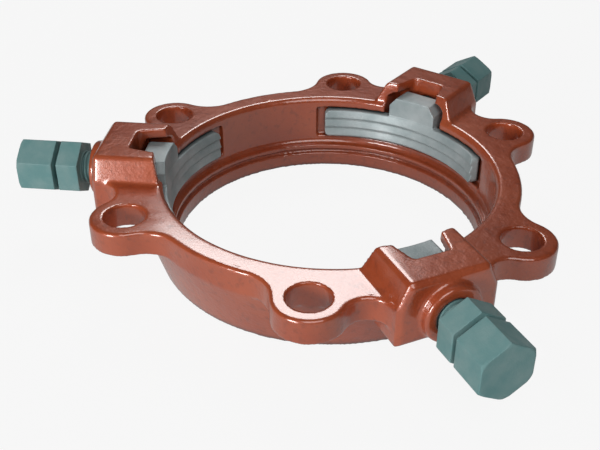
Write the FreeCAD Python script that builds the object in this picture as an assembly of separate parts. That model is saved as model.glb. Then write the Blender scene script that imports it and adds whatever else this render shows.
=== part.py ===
import FreeCAD, Part
import math
import os

from FreeCAD import Vector

# Wedge restraint gland for a six bolt push-in pipe joint, in millimetres.
# The Z axis is the pipe axis. Z = 0 is the flat ring face that presses the gasket,
# and the pockets for the gripping wedges stand on the other side.

# Pipe and bolting sizes that the joint fixes
PIPE_OD = 175.26
PIPE_CLEARANCE = 2.03
BOLT_CIRCLE_MARGIN = 66.04
BOLT_HOLE_D = 22.2
LUG_COUNT = 6
WEDGE_COUNT = 3

# Gland ring
BODY_HEIGHT = 47.0
FLANGE_THICKNESS = 14.0
FLANGE_WIDTH = 14.5
SKIRT_FOOT_WALL = 4.5
WALL_SETBACK = 7.87
BORE_MOUTH_CHAMFER = 2.0
LUG_R = 19.0
LUG_FILLET_R = 20.0
PLATE_TOP_CHAMFER = 1.2

# Gasket lip inside the foot of the bore
LIP_HEIGHT = 9.2
LIP_GROOVE_DEPTH = 1.5
LIP_GROOVE_HEIGHT = 2.4
BEAD_HEIGHT = 3.0
BEAD_INSET = 1.2
LEDGE_COVE = 1.8

# Pocket housings on the ring
HOUSING_HALF_WIDTH = 28.0
HOUSING_TOP_HALF_WIDTH = 22.0
HOUSING_RISE = 13.5
HOUSING_DROP = 22.5
HOUSING_DEPTH = 37.5
HOUSING_END_LEAN = 2.1
HOUSING_ROUND = 3.0
HOUSING_CHAMFER = 2.4
LUG_WEB_SETBACK = 5.0

# Cavity inside each housing
CAVITY_SIDE_GAP = 4.0
CAVITY_FLOOR_GAP = 0.8
CAVITY_BACK_GAP = 2.2
ROOF_THICKNESS = 6.0
NOTCH_MOUTH_HALF_WIDTH = 14.5
NOTCH_BACK_HALF_WIDTH = 10.0
NOTCH_DEPTH = 18.5
NOTCH_ROUND = 2.5

# Threaded boss for each wedge bolt
BOLT_AXIS_DROP = 7.0
BOSS_R = 16.0
BOSS_ROOT_R = 17.2
BOSS_PROUD = 5.5
BOSS_CHAMFER = 1.0

# Gripping wedge
WEDGE_RETRACTION = 4.4
WEDGE_TRAVEL = 6.0
PAD_HALF_ANGLE = 38.0
PAD_THICKNESS = 7.0
PAD_TOP_DROP = 7.5
PAD_HEIGHT = 19.0
PAD_END_CHAMFER = 1.5
PAD_END_ROUND = 4.0
TOOTH_COUNT = 3
TOOTH_DEPTH = 1.5
PAD_GAP = 0.8
PAD_BACK_GAP = 0.6
PAD_END_GAP_ANGLE = 1.5
BLOCK_HALF_WIDTH = 16.5
BLOCK_TOP_HALF_WIDTH = 12.0
BLOCK_TOP_RISE = 6.0
BLOCK_SHOULDER_RISE = 0.5
BLOCK_DROP = 11.0
BLOCK_FACE_SETBACK = 2.0
BLOCK_DEPTH = 17.5
BLOCK_RAMP_ANGLE = 20.0
BLOCK_ROUND = 1.5

# Wedge bolt: threaded shank, lower hexagon, shear neck, twist-off head
SHANK_D = 19.05
RUNNING_GAP = 0.05
SEAT_R = 10.2
SEAT_DEPTH = 12.5
HEX_STOP_GAP = 0.5
LOWER_HEX_AF = 28.6
LOWER_HEX_LENGTH = 12.5
NECK_D = 17.0
NECK_LENGTH = 2.6
HEAD_AF = 28.6
HEAD_LENGTH = 21.0
HEAD_CORNER_INSET = 1.6
HEAD_CORNER_DROP = 1.0

# Places worked out from the sizes above
GRIP_R = PIPE_OD / 2
LIP_R = GRIP_R + PIPE_CLEARANCE
BOLT_CIRCLE_R = (PIPE_OD + BOLT_CIRCLE_MARGIN) / 2
WALL_R = GRIP_R + WALL_SETBACK
FLANGE_R = WALL_R + FLANGE_WIDTH
SKIRT_FOOT_R = WALL_R + SKIRT_FOOT_WALL
FLANGE_UNDER_Z = BODY_HEIGHT - FLANGE_THICKNESS
ROOF_Z = BODY_HEIGHT + HOUSING_RISE
HOUSING_FLOOR_Z = BODY_HEIGHT - HOUSING_DROP
AXIS_Z = BODY_HEIGHT - BOLT_AXIS_DROP
HOUSING_OUTER_Y = WALL_R + HOUSING_DEPTH
NOTCH_BACK_Y = WALL_R + NOTCH_DEPTH
BLOCK_BACK_Y = WALL_R + BLOCK_DEPTH
SEAT_Y = WALL_R + SEAT_DEPTH
BOSS_FACE_Y = HOUSING_OUTER_Y + BOSS_PROUD
PAD_TOP_Z = BODY_HEIGHT - PAD_TOP_DROP
PAD_BOTTOM_Z = PAD_TOP_Z - PAD_HEIGHT
LOWER_HEX_Y = BOSS_FACE_Y + WEDGE_TRAVEL + HEX_STOP_GAP
WEDGE_STEP = 360.0 / WEDGE_COUNT
LUG_STEP = 360.0 / LUG_COUNT
HEX_SIDES = 6
HEX_STEP = 360.0 / HEX_SIDES
# Direction of the first housing about the pipe axis
FRONT = -90.0

# Cutting and filling bodies for the pockets start this far from the pipe axis
TOOL_START_Y = GRIP_R / 2
# Edges that lie this close to a plane count as lying in it
TOUCH = 0.01

Z_AXIS = Vector(0, 0, 1)
ORIGIN = Vector(0, 0, 0)


def line(a, b):
    return Part.LineSegment(a, b).toShape()


def arc(a, b, c):
    return Part.Arc(a, b, c).toShape()


def polar(radius, degrees, z=0.0):
    t = math.radians(degrees)
    return Vector(radius * math.cos(t), radius * math.sin(t), z)


def arc_about(centre, a, b):
    """Short arc from a to b about a centre in the same horizontal plane."""
    radius = (a - centre).Length
    bisector = (a - centre) + (b - centre)
    bisector.normalize()
    return arc(a, centre + bisector * radius, b)


def turned(shape, degrees):
    copy = shape.copy()
    copy.rotate(ORIGIN, Z_AXIS, degrees)
    return copy


def closed_face(points):
    return Part.Face(Part.makePolygon(points + points[:1]))


def revolved(section):
    """Solid of revolution about the pipe axis from a closed list of (radius, z) points."""
    return closed_face([Vector(r, 0, z) for r, z in section]).revolve(ORIGIN, Z_AXIS, 360)


def ring():
    """Foot, skirt and flange rim outside; bore wall, ledge, bead, groove and lip inside."""
    groove_top = LIP_HEIGHT + LIP_GROOVE_HEIGHT
    ledge_z = groove_top + BEAD_HEIGHT
    bead_r = LIP_R + BEAD_INSET
    groove_r = bead_r + LIP_GROOVE_DEPTH
    return revolved([(LIP_R, 0),
                     (SKIRT_FOOT_R, 0),
                     (FLANGE_R, FLANGE_UNDER_Z),
                     (FLANGE_R, BODY_HEIGHT - PLATE_TOP_CHAMFER),
                     (FLANGE_R - PLATE_TOP_CHAMFER, BODY_HEIGHT),
                     (WALL_R + BORE_MOUTH_CHAMFER, BODY_HEIGHT),
                     (WALL_R, BODY_HEIGHT - BORE_MOUTH_CHAMFER),
                     (WALL_R, ledge_z + LEDGE_COVE),
                     (WALL_R - LEDGE_COVE, ledge_z),
                     (bead_r, ledge_z),
                     (bead_r, groove_top),
                     (groove_r, groove_top),
                     (groove_r, LIP_HEIGHT),
                     (LIP_R, LIP_HEIGHT)])


# Flange plate with its lugs, as one outline of tangent arcs


def lug_centre(side, z):
    """Bolt hole centre beside the housing that faces -Y, on the left or right."""
    return polar(BOLT_CIRCLE_R, FRONT + side * LUG_STEP / 2, z)


def ring_fillet_points(side, z):
    """Tangent points of the fillet between a lug and the plain flange arc."""
    reach = FLANGE_R + LUG_FILLET_R
    span = LUG_R + LUG_FILLET_R
    cosine = (reach ** 2 + BOLT_CIRCLE_R ** 2 - span ** 2) / (2 * reach * BOLT_CIRCLE_R)
    swing = math.degrees(math.acos(cosine))
    centre = polar(reach, FRONT + side * (LUG_STEP / 2 + swing), z)
    lug = lug_centre(side, z)
    on_ring = polar(FLANGE_R, FRONT + side * (LUG_STEP / 2 + swing), z)
    on_lug = lug + (centre - lug) * (LUG_R / span)
    return centre, on_ring, on_lug


def housing_fillet_points(side, z):
    """Tangent points of the fillet between a lug and the housing's side wall."""
    lug = lug_centre(side, z)
    tangent_y = -(HOUSING_OUTER_Y - LUG_WEB_SETBACK)
    across = abs(lug.x) - HOUSING_HALF_WIDTH
    along = lug.y - tangent_y
    radius = (across ** 2 + along ** 2 - LUG_R ** 2) / (2 * (LUG_R + across))
    centre = Vector(side * (HOUSING_HALF_WIDTH + radius), tangent_y, z)
    on_lug = lug + (centre - lug) * (LUG_R / (LUG_R + radius))
    on_wall = Vector(side * HOUSING_HALF_WIDTH, tangent_y, z)
    return centre, on_lug, on_wall


def plate_third(z):
    """Outline edges of one third of the plate, from left to right across a housing."""
    edges = []
    for side in (-1, 1):
        ring_centre, on_ring, lug_start = ring_fillet_points(side, z)
        web_centre, lug_end, on_wall = housing_fillet_points(side, z)
        lug = lug_centre(side, z)
        outward = polar(LUG_R, FRONT + side * LUG_STEP / 2)
        edges.append(arc_about(ring_centre, on_ring, lug_start))
        edges.append(arc(lug_start, lug + outward, lug_end))
        edges.append(arc_about(web_centre, lug_end, on_wall))
    left = Vector(-HOUSING_HALF_WIDTH, edges[2].Vertexes[-1].Point.y, z)
    right = Vector(HOUSING_HALF_WIDTH, left.y, z)
    edges.append(line(left, right))
    start = ring_fillet_points(1, z)[1]
    finish = turned(Part.Vertex(ring_fillet_points(-1, z)[1]), WEDGE_STEP).Point
    edges.append(arc_about(Vector(0, 0, z), start, finish))
    return edges


def plate():
    edges = []
    for k in range(WEDGE_COUNT):
        edges += [turned(edge, k * WEDGE_STEP) for edge in plate_third(FLANGE_UNDER_Z)]
    outline = Part.Wire(Part.__sortEdges__(edges))
    solid = Part.Face(outline).extrude(Vector(0, 0, FLANGE_THICKNESS))
    top = [e for e in solid.Edges if e.BoundBox.ZMin > BODY_HEIGHT - TOUCH]
    return solid.makeChamfer(PLATE_TOP_CHAMFER, top)


def ring_opening():
    """Space inside the ring wall, which keeps plate and housings out of the bore."""
    middle_r = (WALL_R + FLANGE_R) / 2
    mouth_r = WALL_R + BORE_MOUTH_CHAMFER
    over_z = ROOF_Z + HOUSING_RISE
    return revolved([(0, 0), (middle_r, 0), (middle_r, BODY_HEIGHT - PLATE_TOP_CHAMFER),
                     (mouth_r, BODY_HEIGHT), (mouth_r + HOUSING_END_LEAN, ROOF_Z),
                     (mouth_r + HOUSING_END_LEAN, over_z), (0, over_z)])


def prism(outline, inner_y, outer_y):
    """Solid along -Y from a closed list of (x, z) points."""
    face = closed_face([Vector(x, -inner_y, z) for x, z in outline])
    return face.extrude(Vector(0, inner_y - outer_y, 0))


def rod(radius, start_y, end_y, end_radius=None):
    """Round solid on the bolt axis of the housing that faces -Y."""
    base = Vector(0, -start_y, AXIS_Z)
    if end_radius is None:
        return Part.makeCylinder(radius, end_y - start_y, base, Vector(0, -1, 0))
    return Part.makeCone(radius, end_radius, end_y - start_y, base, Vector(0, -1, 0))


def before_ramp(back_y):
    """Space on the pipe's side of the ramp that crosses the bolt axis at back_y."""
    ramp = math.tan(math.radians(BLOCK_RAMP_ANGLE))
    low = -(back_y + AXIS_Z * ramp)
    high = low + 2 * ROOF_Z * ramp
    x = -HOUSING_HALF_WIDTH
    side = [Vector(x, low, 0), Vector(x, high, 2 * ROOF_Z), Vector(x, 0, 2 * ROOF_Z),
            Vector(x, 0, 0)]
    return closed_face(side).extrude(Vector(2 * HOUSING_HALF_WIDTH, 0, 0))


def shoulder_outline(half_width, top_half_width, floor_z, shoulder_z, top_z):
    return [(-half_width, floor_z), (half_width, floor_z), (half_width, shoulder_z),
            (top_half_width, top_z), (-top_half_width, top_z), (-half_width, shoulder_z)]


# Pocket housing with its boss


def housing():
    outline = shoulder_outline(HOUSING_HALF_WIDTH, HOUSING_TOP_HALF_WIDTH,
                               HOUSING_FLOOR_Z, BODY_HEIGHT, ROOF_Z)
    block = prism(outline, TOOL_START_Y, HOUSING_OUTER_Y)
    along = [e for e in block.Edges if e.BoundBox.YLength > HOUSING_ROUND
             and e.BoundBox.ZMax > BODY_HEIGHT - TOUCH]
    block = block.makeFillet(HOUSING_ROUND, along)
    outer = [e for e in block.Edges if e.BoundBox.YMax < -HOUSING_OUTER_Y + TOUCH]
    return block.makeChamfer(HOUSING_CHAMFER, outer)


def boss():
    cone = rod(BOSS_ROOT_R, HOUSING_OUTER_Y - BOSS_PROUD, BOSS_FACE_Y, BOSS_R)
    rim = [e for e in cone.Edges if e.BoundBox.YMax < -BOSS_FACE_Y + TOUCH]
    return cone.makeChamfer(BOSS_CHAMFER, rim)


def cavity():
    """Pocket that holds the wedge's block, open to the bore and through the roof's notch."""
    floor_z = AXIS_Z - BLOCK_DROP - CAVITY_FLOOR_GAP
    shoulder_z = BODY_HEIGHT + BLOCK_SHOULDER_RISE + CAVITY_SIDE_GAP
    outline = shoulder_outline(BLOCK_HALF_WIDTH + CAVITY_SIDE_GAP,
                               BLOCK_TOP_HALF_WIDTH + CAVITY_SIDE_GAP,
                               floor_z, shoulder_z, ROOF_Z - ROOF_THICKNESS)
    space = prism(outline, TOOL_START_Y, HOUSING_OUTER_Y)
    space = space.common(before_ramp(BLOCK_BACK_Y + CAVITY_BACK_GAP))
    return space.fuse(roof_notch())


def roof_notch():
    """Tapered cut in the roof's inner edge, with rounded back corners."""
    outline = [Vector(-NOTCH_MOUTH_HALF_WIDTH, -WALL_R, AXIS_Z),
               Vector(NOTCH_MOUTH_HALF_WIDTH, -WALL_R, AXIS_Z),
               Vector(NOTCH_BACK_HALF_WIDTH, -NOTCH_BACK_Y, AXIS_Z),
               Vector(-NOTCH_BACK_HALF_WIDTH, -NOTCH_BACK_Y, AXIS_Z)]
    solid = closed_face(outline).extrude(Vector(0, 0, ROOF_Z))
    back = [e for e in solid.Edges if e.BoundBox.YMax < -NOTCH_BACK_Y + TOUCH
            and e.BoundBox.ZLength > TOUCH]
    return solid.makeFillet(NOTCH_ROUND, back)


def pad_recess():
    """Shallow arc in the ring wall behind a retracted pad, wider than the pad at both ends."""
    back_r = GRIP_R + PAD_THICKNESS + PAD_BACK_GAP
    half = PAD_HALF_ANGLE + PAD_END_GAP_ANGLE
    low = PAD_BOTTOM_Z - PAD_GAP
    height = PAD_HEIGHT + 2 * PAD_GAP
    centre = Vector(0, -WEDGE_RETRACTION, low)
    disc = Part.makeCylinder(back_r, height, centre)
    reach = 2 * back_r
    corners = [Vector(0, 0, low), polar(reach, FRONT - half, low), Vector(0, -reach, low),
               polar(reach, FRONT + half, low)]
    return disc.common(closed_face(corners).extrude(Vector(0, 0, height)))


def bolt_bore():
    return rod(SHANK_D / 2 + RUNNING_GAP, SEAT_Y, BOSS_FACE_Y + BOSS_PROUD)


def lug_holes():
    return [Part.makeCylinder(BOLT_HOLE_D / 2, BODY_HEIGHT, polar(BOLT_CIRCLE_R, k * LUG_STEP))
            for k in range(LUG_COUNT)]


def gland_body():
    units = range(WEDGE_COUNT)
    housings = [turned(housing(), k * WEDGE_STEP) for k in units]
    bosses = [turned(boss(), k * WEDGE_STEP) for k in units]
    outside = plate().fuse(housings).cut(ring_opening())
    outside = outside.fuse(ring()).fuse(bosses)
    cuts = [turned(tool, k * WEDGE_STEP) for k in units
            for tool in (cavity(), pad_recess(), bolt_bore())]
    return outside.cut(cuts + lug_holes()).removeSplitter()


# Gripping wedge: a toothed arc pad with a ramped block behind it


def tooth_points():
    """Inner side of the pad from its foot to its top, as (radius, z)."""
    pitch = PAD_HEIGHT / TOOTH_COUNT
    valley_r = GRIP_R + TOOTH_DEPTH
    points = []
    for k in range(TOOTH_COUNT):
        foot = PAD_BOTTOM_Z + k * pitch
        points.append((valley_r, foot))
        points.append((GRIP_R, foot + TOOTH_DEPTH))
    points.append((valley_r, PAD_TOP_Z))
    return points


def pad_plan():
    """Pad outline seen along the pipe, with bevelled ends, as a tall solid."""
    outer_r = GRIP_R + PAD_THICKNESS
    swing = math.degrees(PAD_END_CHAMFER / outer_r)
    ends = []
    for side in (-1, 1):
        end = FRONT + side * PAD_HALF_ANGLE
        ends.append((polar(GRIP_R, end), polar(outer_r - PAD_END_CHAMFER, end),
                     polar(outer_r, end - side * swing)))
    (left_in, left_mid, left_out), (right_in, right_mid, right_out) = ends
    edges = [arc(left_in, polar(GRIP_R, FRONT), right_in),
             line(right_in, right_mid),
             line(right_mid, right_out),
             arc(right_out, polar(outer_r, FRONT), left_out),
             line(left_out, left_mid),
             line(left_mid, left_in)]
    return Part.Face(Part.Wire(edges)).extrude(Vector(0, 0, ROOF_Z))


def end_slab(side):
    """Slab that reaches from one end of the pad past the other, with two rounded corners."""
    reach = 2 * GRIP_R
    start_y = -reach if side > 0 else 0
    slab = Part.makeBox(reach, reach, PAD_HEIGHT, Vector(0, start_y, PAD_BOTTOM_Z))
    corners = [e for e in slab.Edges if e.BoundBox.XLength > TOUCH
               and abs(e.CenterOfMass.y) < TOUCH]
    return turned(slab.makeFillet(PAD_END_ROUND, corners), FRONT + side * PAD_HALF_ANGLE)


def toothed_pad():
    outer_r = GRIP_R + PAD_THICKNESS
    back = [(outer_r, PAD_TOP_Z), (outer_r, PAD_BOTTOM_Z)]
    pad = revolved(tooth_points() + back).common(pad_plan())
    return pad.common(end_slab(-1)).common(end_slab(1))


def wedge_block():
    """Block with a shouldered front view and a ramped back, before it moves to its place."""
    outline = shoulder_outline(BLOCK_HALF_WIDTH, BLOCK_TOP_HALF_WIDTH, AXIS_Z - BLOCK_DROP,
                               BODY_HEIGHT + BLOCK_SHOULDER_RISE, BODY_HEIGHT + BLOCK_TOP_RISE)
    back_y = BLOCK_BACK_Y - WEDGE_RETRACTION
    block = prism(outline, TOOL_START_Y, HOUSING_OUTER_Y).common(before_ramp(back_y))
    back = [e for e in block.Edges if e.BoundBox.YMax < -GRIP_R]
    block = block.makeFillet(BLOCK_ROUND, back)
    hollow = Part.makeCylinder(GRIP_R + BLOCK_FACE_SETBACK, ROOF_Z)
    return block.cut(hollow)


def wedge():
    solid = toothed_pad().fuse(wedge_block())
    solid.translate(Vector(0, -WEDGE_RETRACTION, 0))
    return solid.cut(rod(SEAT_R, SEAT_Y, HOUSING_OUTER_Y)).removeSplitter()


# Wedge bolt: threaded shank and two hexagons joined by a neck that shears


def hexagon(across_flats, start_y, length):
    """Hexagon bar on the bolt axis."""
    corners = [polar(across_flats / math.sqrt(3), k * HEX_STEP + HEX_STEP / 2)
               for k in range(HEX_SIDES)]
    bar = closed_face([Vector(p.x, -start_y, AXIS_Z + p.y) for p in corners])
    return bar.extrude(Vector(0, -length, 0))


def head():
    """Twist-off hexagon whose outer corners are turned to a cone."""
    start_y = LOWER_HEX_Y + LOWER_HEX_LENGTH + NECK_LENGTH
    cone_y = start_y + HEAD_LENGTH - HEAD_CORNER_DROP
    corner_r = HEAD_AF / math.sqrt(3)
    envelope = rod(corner_r, start_y, cone_y)
    end = rod(corner_r, cone_y, start_y + HEAD_LENGTH, corner_r - HEAD_CORNER_INSET)
    return hexagon(HEAD_AF, start_y, HEAD_LENGTH).common(envelope.fuse(end))


def wedge_bolt():
    neck_y = LOWER_HEX_Y + LOWER_HEX_LENGTH
    shank = rod(SHANK_D / 2, SEAT_Y, LOWER_HEX_Y)
    lower_hex = hexagon(LOWER_HEX_AF, LOWER_HEX_Y, LOWER_HEX_LENGTH)
    neck = rod(NECK_D / 2, neck_y, neck_y + NECK_LENGTH)
    return shank.fuse([lower_hex, neck, head()]).removeSplitter()


def save(shape, name):
    shape.exportStep("parts/" + name + ".step")
    print(name, "valid", shape.isValid(), "solids", len(shape.Solids), "faces", len(shape.Faces),
          "volume", round(shape.Volume))


os.makedirs("parts", exist_ok=True)
save(gland_body(), "gland_body")
first_wedge = wedge()
first_bolt = wedge_bolt()
for k in range(WEDGE_COUNT):
    save(turned(first_wedge, k * WEDGE_STEP), "wedge_" + str(k + 1))
    save(turned(first_bolt, k * WEDGE_STEP), "wedge_bolt_" + str(k + 1))
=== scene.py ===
# %% [markdown]
# A ring-shaped pipe joint restraint, dressed in Blender around its measured solids.
# The real one is an iron casting under glossy red-brown enamel. Three toothed wedges
# sit in its pockets, and three long bolts with twist-off heads push them inwards.
# The solids already have the true sizes, so this script only adds what a foundry,
# a thread roller and a paint line add: soft edges, threads and finishes.

# %% Load the measured solids
import math

import bmesh
import bpy
from mathutils import Matrix, Vector


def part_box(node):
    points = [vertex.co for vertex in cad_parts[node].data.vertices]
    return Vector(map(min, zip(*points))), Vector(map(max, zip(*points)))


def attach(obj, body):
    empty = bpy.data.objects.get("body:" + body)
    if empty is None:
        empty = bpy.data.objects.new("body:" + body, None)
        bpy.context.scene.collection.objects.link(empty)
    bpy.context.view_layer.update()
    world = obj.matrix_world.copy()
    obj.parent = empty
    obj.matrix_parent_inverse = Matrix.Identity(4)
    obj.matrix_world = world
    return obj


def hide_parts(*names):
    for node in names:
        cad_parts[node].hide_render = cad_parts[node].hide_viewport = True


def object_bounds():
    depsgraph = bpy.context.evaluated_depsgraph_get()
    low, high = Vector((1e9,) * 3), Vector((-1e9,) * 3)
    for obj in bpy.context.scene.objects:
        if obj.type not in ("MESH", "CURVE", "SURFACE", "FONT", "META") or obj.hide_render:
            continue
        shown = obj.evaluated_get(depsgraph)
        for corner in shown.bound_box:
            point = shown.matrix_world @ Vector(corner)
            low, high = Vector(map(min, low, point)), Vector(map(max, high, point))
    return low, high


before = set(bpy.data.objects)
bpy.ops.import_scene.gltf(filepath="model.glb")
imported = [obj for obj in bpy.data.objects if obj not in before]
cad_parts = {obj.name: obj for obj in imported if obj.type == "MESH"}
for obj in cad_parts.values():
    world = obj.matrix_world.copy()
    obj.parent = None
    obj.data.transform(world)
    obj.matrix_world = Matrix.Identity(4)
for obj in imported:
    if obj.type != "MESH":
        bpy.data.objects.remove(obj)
cad_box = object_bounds()
MM = 0.001
print("solids:", sorted(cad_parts))

# %% [markdown]
# Node maths reads best as plain expressions. A small class wraps an output socket, so
# that `mask * 0.4 + 0.1` adds the Math nodes by itself. Any other node comes from
# `node`, which sets its options first and then its sockets. Materials and Geometry
# Nodes groups share these calls.

# %% Node expressions


class Wire:
    """An output socket that can be used in sums, products and differences."""

    def __init__(self, graph, socket):
        self.graph = graph
        self.socket = socket

    def math(self, operation, other=0.0, swap=False):
        pair = [other, self] if swap else [self, other]
        return self.graph.node("ShaderNodeMath", {"operation": operation}, {0: pair[0], 1: pair[1]})

    def __add__(self, other):
        return self.math("ADD", other)

    def __sub__(self, other):
        return self.math("SUBTRACT", other)

    def __rsub__(self, other):
        return self.math("SUBTRACT", other, swap=True)

    def __mul__(self, other):
        return self.math("MULTIPLY", other)

    __radd__ = __add__
    __rmul__ = __mul__


class Graph:
    """A node tree, with one call that adds any node to it."""

    def __init__(self, tree):
        self.tree = tree

    def node(self, kind, options, sockets, output=0):
        made = self.tree.nodes.new(kind)
        for name, value in options.items():
            setattr(made, name, value)
        for key, value in sockets.items():
            self.feed(made.inputs[key], value)
        return Wire(self, made.outputs[output])

    def feed(self, socket, value):
        if isinstance(value, Wire):
            self.tree.links.new(value.socket, socket)
        else:
            socket.default_value = value

    def ramp(self, value, low, high, start=0.0, finish=1.0):
        """Start below low, finish above high, straight in between."""
        return self.node("ShaderNodeMapRange", {},
                         {"Value": value, "From Min": low, "From Max": high,
                          "To Min": start, "To Max": finish})


print("reflected operators:", [name for name in vars(Wire) if name.startswith("__r")])

# %% [markdown]
# Every finish here starts from the Principled shader. No paint line lays down one flat
# tone, so noise mixes two colours and a fine bump roughens the coat. The noise reads
# Object coordinates: they need no unwrapping, and the pattern stays with its piece when
# the piece moves. Corners and narrow gaps get painted shade: an Ambient Occlusion node
# finds them without any painting by hand, and their colour is mixed towards a dark one.

# %% Paint helper


class Paint(Graph):
    """One material and the few calls that build it."""

    def __init__(self, name):
        self.material = bpy.data.materials.new(name)
        self.material.use_nodes = True
        super().__init__(self.material.node_tree)
        self.shader = self.tree.nodes["Principled BSDF"]
        self.place = self.node("ShaderNodeTexCoord", {}, {}, "Object")

    def noise(self, scale, detail=4.0):
        return self.node("ShaderNodeTexNoise", {},
                         {"Vector": self.place, "Scale": scale, "Detail": detail, "Roughness": 0.55})

    def mix(self, factor, a, b):
        return self.node("ShaderNodeMix", {"data_type": "RGBA"}, {0: factor, 6: a, 7: b}, output=2)

    def painted_shade(self, reach):
        """Painted shade: one in tight corners and narrow gaps, zero on open walls."""
        openness = self.node("ShaderNodeAmbientOcclusion", {"samples": 8}, {"Distance": reach}, "AO")
        return self.ramp(openness, low=0.35, high=0.85, start=1.0, finish=0.0)

    def bump(self, height, strength, distance):
        return self.node("ShaderNodeBump", {},
                         {"Height": height, "Strength": strength, "Distance": distance})

    def set(self, **values):
        for name, value in values.items():
            self.feed(self.shader.inputs[name.replace("_", " ")], value)


print("paint helper:", Paint.__doc__)

# %% [markdown]
# The gland wears a thick enamel over rough cast iron. Its colour wanders where the coat
# runs thin or thick, small dark specks stay in it, and the grain of the sand mould shows
# through as a soft unevenness that breaks up the reflections. One smooth red layer would
# look like plastic. A clear coat over a rougher red gives the broad tone and the sharp
# sheen at once, as thick enamel does.

# %% Gland enamel
ENAMEL = (0.42, 0.070, 0.020, 1.0)
ENAMEL_THIN = (0.52, 0.105, 0.034, 1.0)
# The dark colour serves both the real dark specks and the painted shade in corners.
ENAMEL_SPECK_AND_SHADE = (0.055, 0.010, 0.006, 1.0)


def gland_enamel():
    p = Paint("gland_enamel")
    drift = p.ramp(p.noise(scale=22.0, detail=3.0), low=0.35, high=0.7)
    speck = p.ramp(p.noise(scale=260.0, detail=2.0), low=0.55, high=0.72)
    colour = p.mix(drift, ENAMEL, ENAMEL_THIN)
    colour = p.mix(speck * 0.25, colour, ENAMEL_SPECK_AND_SHADE)
    # Painted shade: corners and gaps found by the Ambient Occlusion node are mixed towards the dark
    # colour.
    colour = p.mix(p.painted_shade(reach=5.0 * MM) * 0.85, colour, ENAMEL_SPECK_AND_SHADE)
    sand = p.noise(scale=700.0, detail=3.0)
    waves = p.noise(scale=120.0, detail=2.0)
    grain = p.bump(sand * 0.35 + waves, strength=0.6, distance=0.9 * MM)
    p.set(Base_Color=colour, Roughness=drift * 0.10 + 0.33, Metallic=0.12, Normal=grain)
    p.set(Specular_IOR_Level=0.4, Coat_Weight=1.0, Coat_Roughness=0.14, Coat_IOR=1.8)
    return p.material


enamel = gland_enamel()
print("finish:", enamel.name)

# %% [markdown]
# The wedges are dipped in a thin pale grey coat, which dries cloudy and duller than the
# enamel. The same helper makes it with a finer cloud, no clear coat and a little metal in
# it, because the dip is thin enough for the iron to show.

# %% Wedge dip
WEDGE_GREY = (0.56, 0.63, 0.64, 1.0)
WEDGE_DEEP = (0.34, 0.42, 0.43, 1.0)
# The dark colour of the painted shade in corners and gaps.
PAINTED_SHADE_COLOUR = (0.025, 0.035, 0.038, 1.0)


def wedge_dip():
    p = Paint("wedge_dip")
    cloud = p.ramp(p.noise(scale=60.0), low=0.3, high=0.75)
    colour = p.mix(cloud, WEDGE_DEEP, WEDGE_GREY)
    # Painted shade in the wedge's corners and gaps.
    colour = p.mix(p.painted_shade(reach=4.0 * MM) * 0.8, colour, PAINTED_SHADE_COLOUR)
    grain = p.bump(p.noise(scale=900.0, detail=3.0), strength=0.4, distance=0.4 * MM)
    p.set(Base_Color=colour, Roughness=0.5 - cloud * 0.12, Metallic=0.15, Normal=grain)
    return p.material


dip = wedge_dip()
print("finish:", dip.name)

# %% [markdown]
# The bolts have a teal coating against rust. It covers the steel wholly, so the shader
# has no metal in it, and it is smoother than the dip. Its reflection is kept weak, or the
# flat sides of the hexagons would turn pale and lose the teal.

# %% Bolt coating
BOLT_TEAL = (0.155, 0.315, 0.315, 1.0)
BOLT_GREY = (0.230, 0.370, 0.365, 1.0)


def bolt_coating():
    p = Paint("bolt_coating")
    cloud = p.ramp(p.noise(scale=90.0), low=0.35, high=0.7)
    colour = p.mix(cloud, BOLT_TEAL, BOLT_GREY)
    # Painted shade in the bolt's corners and gaps.
    colour = p.mix(p.painted_shade(reach=3.0 * MM) * 0.5, colour, PAINTED_SHADE_COLOUR)
    grain = p.bump(p.noise(scale=1100.0, detail=2.0), strength=0.25, distance=0.3 * MM)
    p.set(Base_Color=colour, Roughness=0.46 - cloud * 0.1, Metallic=0.0, Normal=grain)
    p.set(Specular_IOR_Level=0.25)
    return p.material


coating = bolt_coating()
print("finish:", coating.name)

# %% [markdown]
# Two rules repeat over the part: the skin that a sand mould leaves, and the thread that
# rollers press into a bolt. Each is a Geometry Nodes group with named inputs, so that one
# rule serves every piece that needs it. A group ends in Realize Instances and Set
# Material, and a modifier takes its values by the identifiers of the group's sockets.

# %% Geometry Nodes helper


class Shape(Graph):
    """A Geometry Nodes group with named inputs."""

    def __init__(self, name):
        super().__init__(bpy.data.node_groups.new(name, "GeometryNodeTree"))
        self.tree.interface.new_socket("Geometry", in_out="OUTPUT", socket_type="NodeSocketGeometry")
        self.entry = self.tree.nodes.new("NodeGroupInput")
        self.exit = self.tree.nodes.new("NodeGroupOutput")
        self.keys = {}

    def input(self, name, kind="NodeSocketFloat"):
        item = self.tree.interface.new_socket(name, in_out="INPUT", socket_type=kind)
        self.keys[name] = item.identifier
        return Wire(self, self.entry.outputs[name])

    def finish(self, geometry):
        whole = self.node("GeometryNodeRealizeInstances", {}, {"Geometry": geometry})
        painted = self.node("GeometryNodeSetMaterial", {},
                            {"Geometry": whole, "Material": self.input("Material", "NodeSocketMaterial")})
        self.tree.links.new(painted.socket, self.exit.inputs["Geometry"])

    def put_on(self, piece, values):
        modifier = piece.modifiers.new(self.tree.name, "NODES")
        modifier.node_group = self.tree
        for name, value in values.items():
            modifier[self.keys[name]] = value


print("group helper:", Shape.__doc__)

# %% [markdown]
# The sand leaves a casting a little hollow here and there, by a tenth of a millimetre or
# so. Bump could fake that, but the outline would stay too perfect, so this rule moves the
# surface itself inwards along its normal, by a smooth random depth with a fixed seed.

# %% Mould skin


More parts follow.
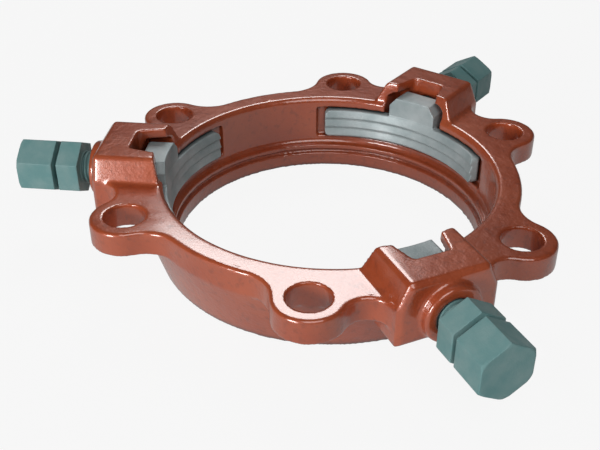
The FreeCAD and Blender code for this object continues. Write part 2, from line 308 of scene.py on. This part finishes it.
def mould_skin():
    g = Shape("mould_skin")
    skin = g.input("Skin", "NodeSocketGeometry")
    depth = g.input("Depth")
    scale = g.input("Scale")
    seed = g.input("Seed")
    hollow = g.node("ShaderNodeTexNoise", {"noise_dimensions": "4D"},
                    {"W": seed, "Scale": scale, "Detail": 2.0})
    normal = g.node("GeometryNodeInputNormal", {}, {})
    inward = g.node("ShaderNodeVectorMath", {"operation": "SCALE"},
                    {0: normal, "Scale": hollow * depth * -1.0})
    g.finish(g.node("GeometryNodeSetPosition", {}, {"Geometry": skin, "Offset": inward}))
    return g


skin_rule = mould_skin()
print("group:", skin_rule.tree.name, list(skin_rule.keys))

# %% [markdown]
# Geometry Nodes and modifiers are only a recipe until they are evaluated. Two small
# helpers go between a recipe and a mesh: one opens a throwaway copy of a solid with its
# seams welded, and the other turns an object and its modifiers into a plain mesh.

# %% Plain meshes
WELD = 0.002 * MM


def work_piece(mesh):
    """A throwaway object around an unpainted copy of a solid's mesh, with its seams welded."""
    made = bpy.data.objects.new("work", mesh.copy())
    made.data.materials.clear()
    bpy.context.scene.collection.objects.link(made)
    grid = bmesh.new()
    grid.from_mesh(made.data)
    bmesh.ops.remove_doubles(grid, verts=grid.verts, dist=WELD)
    grid.to_mesh(made.data)
    grid.free()
    return made


def plain_mesh(piece, name):
    """The evaluated mesh of a piece with its modifiers, as a new plain object."""
    graph = bpy.context.evaluated_depsgraph_get()
    mesh = bpy.data.meshes.new_from_object(piece.evaluated_get(graph), depsgraph=graph)
    mesh.name = name
    bpy.data.objects.remove(piece)
    made = bpy.data.objects.new(name, mesh)
    bpy.context.scene.collection.objects.link(made)
    return made


print("seams are welded within", WELD, "m")

# %% [markdown]
# A sand casting has no sharp edge anywhere: outer corners are worn round in the mould
# and inner corners are filled. Rounding each edge by hand would miss half of them, so
# the solid is turned into fine voxels, relaxed a little and thinned out again. Flat
# walls stay flat, and every edge gets the soft roll of poured iron.

# %% Melt the edges
SKIN_SCALE = 45.0
SKIN_SEED = 3.0


def melted(work, name, voxel, melts, most_faces, material, skin_depth):
    skin = work.modifiers.new("skin", "REMESH")
    skin.mode = "VOXEL"
    skin.voxel_size = voxel
    melt = work.modifiers.new("melt", "SMOOTH")
    melt.factor = 0.5
    melt.iterations = melts
    work = plain_mesh(work, "work")
    triangles = 2 * len(work.data.polygons)
    thin = work.modifiers.new("thin", "DECIMATE")
    thin.ratio = min(1.0, most_faces / triangles)
    skin_rule.put_on(work, {"Depth": skin_depth, "Scale": SKIN_SCALE, "Seed": SKIN_SEED,
                            "Material": material})
    piece = plain_mesh(work, name)
    piece.data.shade_smooth()
    print(name, "has", len(piece.data.polygons), "faces")
    return piece


# %% [markdown]
# The gland is one casting with its ring, gasket lip, flange, six lugs and three pocket
# housings. It could be dressed in parts, but seams would show where none are, so the
# whole solid is melted at once. It is the largest piece, and voxels of about a
# millimetre are fine enough for its edges.

# %% Gland casting
gland = melted(work_piece(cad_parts["gland_body"].data), "gland_casting", voxel=0.9 * MM,
               melts=4, most_faces=170000, material=enamel, skin_depth=0.22 * MM)
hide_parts("gland_body")
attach(gland, "gland")

# %% [markdown]
# The wedges are small castings whose teeth have to bite into the pipe. They get finer
# voxels and less melting, so that the teeth stay crisp. Each has its own solid in its own
# pocket and slides on its own body, so a loop makes three pieces.

# %% Gripping wedges
POCKETS = (1, 2, 3)
for k in POCKETS:
    wedge = melted(work_piece(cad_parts["wedge_%d" % k].data), "gripping_wedge_%d" % k,
                   voxel=0.45 * MM, melts=3, most_faces=50000, material=dip, skin_depth=0.12 * MM)
    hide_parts("wedge_%d" % k)
    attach(wedge, "wedge_%d" % k)

# %% [markdown]
# A bolt is one piece of steel: a threaded shank, a lower hexagon, a thin neck and a head
# that twists off at the right torque. Its solid has a plain shank of the thread's outer
# size. The forged hexagons are cut off it with a short stub of the shank and get soft
# corners in the castings' way, with the finest voxels, because they are small.

# %% Forged hexagons
low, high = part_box("wedge_bolt_1")
BOLT_AXIS = (low.z + high.z) / 2
SHANK_START = -high.y
SHANK_LENGTH = 37.0 * MM
STUB_LENGTH = 0.6 * MM
POCKET_STEP = 360.0 / len(POCKETS)


def toward(azimuth, elevation=0.0):
    """Unit vector at an azimuth in degrees, from the front, -Y, towards +X, and an elevation."""
    a = math.radians(azimuth)
    e = math.radians(elevation)
    return Vector((math.sin(a) * math.cos(e), -math.cos(a) * math.cos(e), math.sin(e)))


def hexagons(k, name):
    """The two hexagons and the neck of a bolt's solid, without its plain shank."""
    work = work_piece(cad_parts["wedge_bolt_%d" % k].data)
    outward = toward(POCKET_STEP * (k - 1))
    cut_at = SHANK_START + SHANK_LENGTH - STUB_LENGTH
    grid = bmesh.new()
    grid.from_mesh(work.data)
    cut = bmesh.ops.bisect_plane(grid, geom=grid.verts[:] + grid.edges[:] + grid.faces[:],
                                 plane_co=outward * cut_at, plane_no=outward, clear_inner=True)
    rim = [e for e in cut["geom_cut"] if isinstance(e, bmesh.types.BMEdge)]
    bmesh.ops.holes_fill(grid, edges=rim)
    grid.to_mesh(work.data)
    grid.free()
    return melted(work, name, voxel=0.35 * MM, melts=4, most_faces=40000,
                  material=coating, skin_depth=0.06 * MM)


print("bolt axis at height", round(BOLT_AXIS, 4), "and inner end at radius", round(SHANK_START, 4))

# %% [markdown]
# The thread is rolled into the shank at ten turns to the inch. A Screw modifier round a
# profile could make it, but would leave its ends open. This rule bends a flat grid round
# into a rod instead. Its radius follows the helix angle, so that the ridge climbs one
# pitch with each turn, the inner end is bevelled, and both ends close on the axis.

# %% Rolled thread
CREST_EDGE = 0.16
ROOT_EDGE = 0.84
BEVEL_TURNS = 0.6
END_ROW = 0.0001


def rolled_thread():
    g = Shape("rolled_thread")
    crest = g.input("Crest radius")
    depth = g.input("Thread depth")
    pitch = g.input("Pitch")
    length = g.input("Length")
    around = g.input("Points around", "NodeSocketInt")
    along = g.input("Points along", "NodeSocketInt")
    grid = g.node("GeometryNodeMeshGrid", {},
                  {"Size X": 1.0, "Size Y": 1.0, "Vertices X": around, "Vertices Y": along})
    spot = g.node("GeometryNodeInputPosition", {}, {})
    x = g.node("ShaderNodeSeparateXYZ", {}, {"Vector": spot}, "X") + 0.5
    y = g.node("ShaderNodeSeparateXYZ", {}, {"Vector": spot}, "Y") + 0.5
    run = y * length
    phase = (run.math("DIVIDE", pitch) - x).math("FRACT")
    ridge = (phase * 2.0 - 1.0).math("ABSOLUTE")
    groove = g.node("ShaderNodeMapRange", {"interpolation_type": "SMOOTHSTEP"},
                    {"Value": ridge, "From Min": CREST_EDGE, "From Max": ROOT_EDGE})
    bevel = g.ramp(run, low=0.0, high=pitch * BEVEL_TURNS, start=1.0, finish=0.0)
    inside = y.math("GREATER_THAN", END_ROW) * y.math("LESS_THAN", 1.0 - END_ROW)
    radius = (crest - depth * groove.math("MAXIMUM", bevel)) * inside
    turn = x * (2 * math.pi)
    place = g.node("ShaderNodeCombineXYZ", {},
                   {"X": radius * turn.math("COSINE"), "Y": run * -1.0, "Z": radius * turn.math("SINE")})
    rod = g.node("GeometryNodeSetPosition", {}, {"Geometry": grid, "Position": place})
    g.finish(g.node("GeometryNodeMergeByDistance", {}, {"Geometry": rod, "Distance": 0.02 * MM}))
    return g


thread_rule = rolled_thread()
print("group:", thread_rule.tree.name, list(thread_rule.keys))

# %% [markdown]
# A rod is the rule put on an empty mesh, turned to its pocket. It is one millimetre
# longer than the shank, so that it ends unseen inside the lower hexagon.

# %% Threaded rods
THREAD_TUCK = 1.0 * MM
CREST_RADIUS = 9.42 * MM
THREAD_DEPTH = 1.35 * MM
THREAD_PITCH = 2.54 * MM
POINTS_AROUND = 73
POINTS_ALONG = 216


def threaded_rod(k):
    blank = bpy.data.objects.new("rod", bpy.data.meshes.new("rod"))
    bpy.context.scene.collection.objects.link(blank)
    thread_rule.put_on(blank, {"Crest radius": CREST_RADIUS, "Thread depth": THREAD_DEPTH,
                               "Pitch": THREAD_PITCH, "Length": SHANK_LENGTH + THREAD_TUCK,
                               "Points around": POINTS_AROUND, "Points along": POINTS_ALONG,
                               "Material": coating})
    rod = plain_mesh(blank, "rod")
    to_bolt = Matrix.Translation((0, -SHANK_START, BOLT_AXIS))
    rod.data.transform(Matrix.Rotation(math.radians(POCKET_STEP * (k - 1)), 4, "Z") @ to_bolt)
    rod.data.shade_smooth()
    return rod


print("thread turns on a shank:", round(SHANK_LENGTH / THREAD_PITCH, 1))

# %% [markdown]
# A bolt turns as one piece, so its hexagons and its rod become one mesh. A Boolean union
# would clean up the faces where they meet, but those are hidden inside the hexagon, and
# it could spoil the fine thread. Joining the two meshes leaves both as they are.

# %% Whole bolts


def joined(pieces, name):
    """One object with the meshes of several, which are removed."""
    grid = bmesh.new()
    for piece in pieces:
        grid.from_mesh(piece.data)
    for face in grid.faces:
        face.material_index = 0
    mesh = bpy.data.meshes.new(name)
    grid.to_mesh(mesh)
    grid.free()
    mesh.materials.append(coating)
    for piece in pieces:
        bpy.data.objects.remove(piece)
    made = bpy.data.objects.new(name, mesh)
    bpy.context.scene.collection.objects.link(made)
    made.data.shade_smooth()
    return made


for k in POCKETS:
    bolt = joined([hexagons(k, "hexagons"), threaded_rod(k)], "twist_off_bolt_%d" % k)
    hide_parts("wedge_bolt_%d" % k)
    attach(bolt, "bolt_%d" % k)
    print(bolt.name, "has", len(bolt.data.polygons), "faces")

# %% [markdown]
# The part lies on a plain white floor that keeps a faint shadow. A white floor lit from
# above would throw its light back up and wash out the skirt. So the floor is grey to the
# lamps and glows only towards the camera, and less in reflections, which a Mix Shader
# does with the kinds of rays that Light Path tells apart.

# %% Floor
FLOOR_HALF = 6.0
FLOOR_SHOWN = 0.9
FLOOR_MIRRORED = 0.3
FLOOR_GREY = (0.5, 0.5, 0.5, 1.0)
WHITE = (1.0, 1.0, 1.0, 1.0)


def seen(graph, shown, mirrored):
    """The value shown for rays from the camera, also through glass, and mirrored for reflections."""
    straight = graph.node("ShaderNodeLightPath", {}, {}, "Is Camera Ray")
    through = graph.node("ShaderNodeLightPath", {}, {}, "Is Transmission Ray")
    glossy = graph.node("ShaderNodeLightPath", {}, {}, "Is Glossy Ray")
    return (straight.math("MAXIMUM", through) * shown).math("MAXIMUM", glossy * mirrored)


def white_floor():
    p = Paint("floor_white")
    p.set(Base_Color=FLOOR_GREY, Roughness=0.9, Specular_IOR_Level=0.0)
    glow = p.node("ShaderNodeEmission", {}, {"Color": WHITE, "Strength": 1.0})
    plain = Wire(p, p.shader.outputs[0])
    blend = p.node("ShaderNodeMixShader", {},
                   {0: seen(p, FLOOR_SHOWN, FLOOR_MIRRORED), 1: plain, 2: glow})
    p.feed(p.tree.nodes["Material Output"].inputs["Surface"], blend)
    return p.material


floor_mesh = bpy.data.meshes.new("floor")
floor_mesh.from_pydata([(-FLOOR_HALF, -FLOOR_HALF, 0), (FLOOR_HALF, -FLOOR_HALF, 0),
                        (FLOOR_HALF, FLOOR_HALF, 0), (-FLOOR_HALF, FLOOR_HALF, 0)], [], [(0, 1, 2, 3)])
floor = bpy.data.objects.new("floor", floor_mesh)
bpy.context.scene.collection.objects.link(floor)
floor.data.materials.append(white_floor())
print("floor:", 2 * FLOOR_HALF, "m wide")

# %% [markdown]
# Glossy enamel shows its lamps as pale shapes, so each soft lamp stands where the real
# one has a reflection. The key, high behind the ring, paints the sheen on the flange's
# near side. A low one on the left lights the skirt, and a wide weak one over the camera
# opens the pockets. A lamp's power grows with its face, so that its brightness is set
# apart from its size.

# %% Lamps
centre = (cad_box[0] + cad_box[1]) / 2


def lamp(name, azimuth, elevation, distance, size, radiance):
    """A square lamp that faces the object."""
    away = toward(azimuth, elevation)
    data = bpy.data.lights.new(name, "AREA")
    data.size = size
    data.energy = radiance * math.pi * size * size
    made = bpy.data.objects.new(name, data)
    made.location = centre + away * distance
    made.rotation_mode = "QUATERNION"
    made.rotation_quaternion = away.to_track_quat("Z", "Y")
    bpy.context.scene.collection.objects.link(made)


lamp("key", azimuth=160.0, elevation=43.0, distance=1.6, size=0.52, radiance=6.5)
lamp("left_strip", azimuth=-66.0, elevation=12.0, distance=1.6, size=0.55, radiance=15.0)
lamp("front_fill", azimuth=-15.0, elevation=48.0, distance=1.8, size=1.2, radiance=2.5)

# %% [markdown]
# Behind the floor the camera sees a white world. As a light it would be a dome that
# flattens every shadow, so it lights the part only faintly, and walls that mirror the
# horizon stay dark. The Standard view shows colours as they are written.

# %% World
SKY_MIRRORED = 0.05
SKY_LIGHT = 0.02

world = bpy.data.worlds.new("studio")
bpy.context.scene.world = world
world.use_nodes = True
sky = Graph(world.node_tree)
background = sky.tree.nodes["Background"]
sky.feed(background.inputs["Color"], WHITE)
sky.feed(background.inputs["Strength"], seen(sky, 1.0, SKY_MIRRORED).math("MAXIMUM", SKY_LIGHT))
bpy.context.scene.view_settings.view_transform = "Standard"
print("world:", world.name)

# %% [markdown]
# The camera was fitted to the six lug holes of the photograph, which lie on one circle.
# It keeps that distance and turn, with the frame slid sideways so that the bolt on the
# far left is in it. Its place follows from an aim on the flange's top and a direction,
# which is easier to adjust than a position and three angles.

# %% Camera
CAMERA_AZIMUTH = -25.34
CAMERA_ELEVATION = 33.11
CAMERA_ROLL = 0.76
CAMERA_DISTANCE = 0.53657
CAMERA_LENS = 55.72
CAMERA_SHIFT = -0.03375
AIM_RIGHT = -0.0054
AIM_UP = -0.03197
FLANGE_TOP = cad_box[0].z + 47.0 * MM

back = toward(CAMERA_AZIMUTH, CAMERA_ELEVATION)
level_right = toward(CAMERA_AZIMUTH + 90.0)
right = Matrix.Rotation(math.radians(CAMERA_ROLL), 3, back) @ level_right
up = back.cross(right)
camera = bpy.data.objects.new("camera", bpy.data.cameras.new("camera"))
camera.data.lens = CAMERA_LENS
camera.data.shift_x = CAMERA_SHIFT
camera.data.sensor_width = 36.0
camera.data.clip_start = 0.01
aim = Vector((0, 0, FLANGE_TOP)) + right * AIM_RIGHT + up * AIM_UP
camera.matrix_world = Matrix.Translation(aim + back * CAMERA_DISTANCE) @ Matrix(
    (right, up, back)).transposed().to_4x4()
bpy.context.scene.collection.objects.link(camera)
bpy.context.scene.camera = camera
print("camera at", tuple(round(v, 4) for v in camera.location))

# %% [markdown]
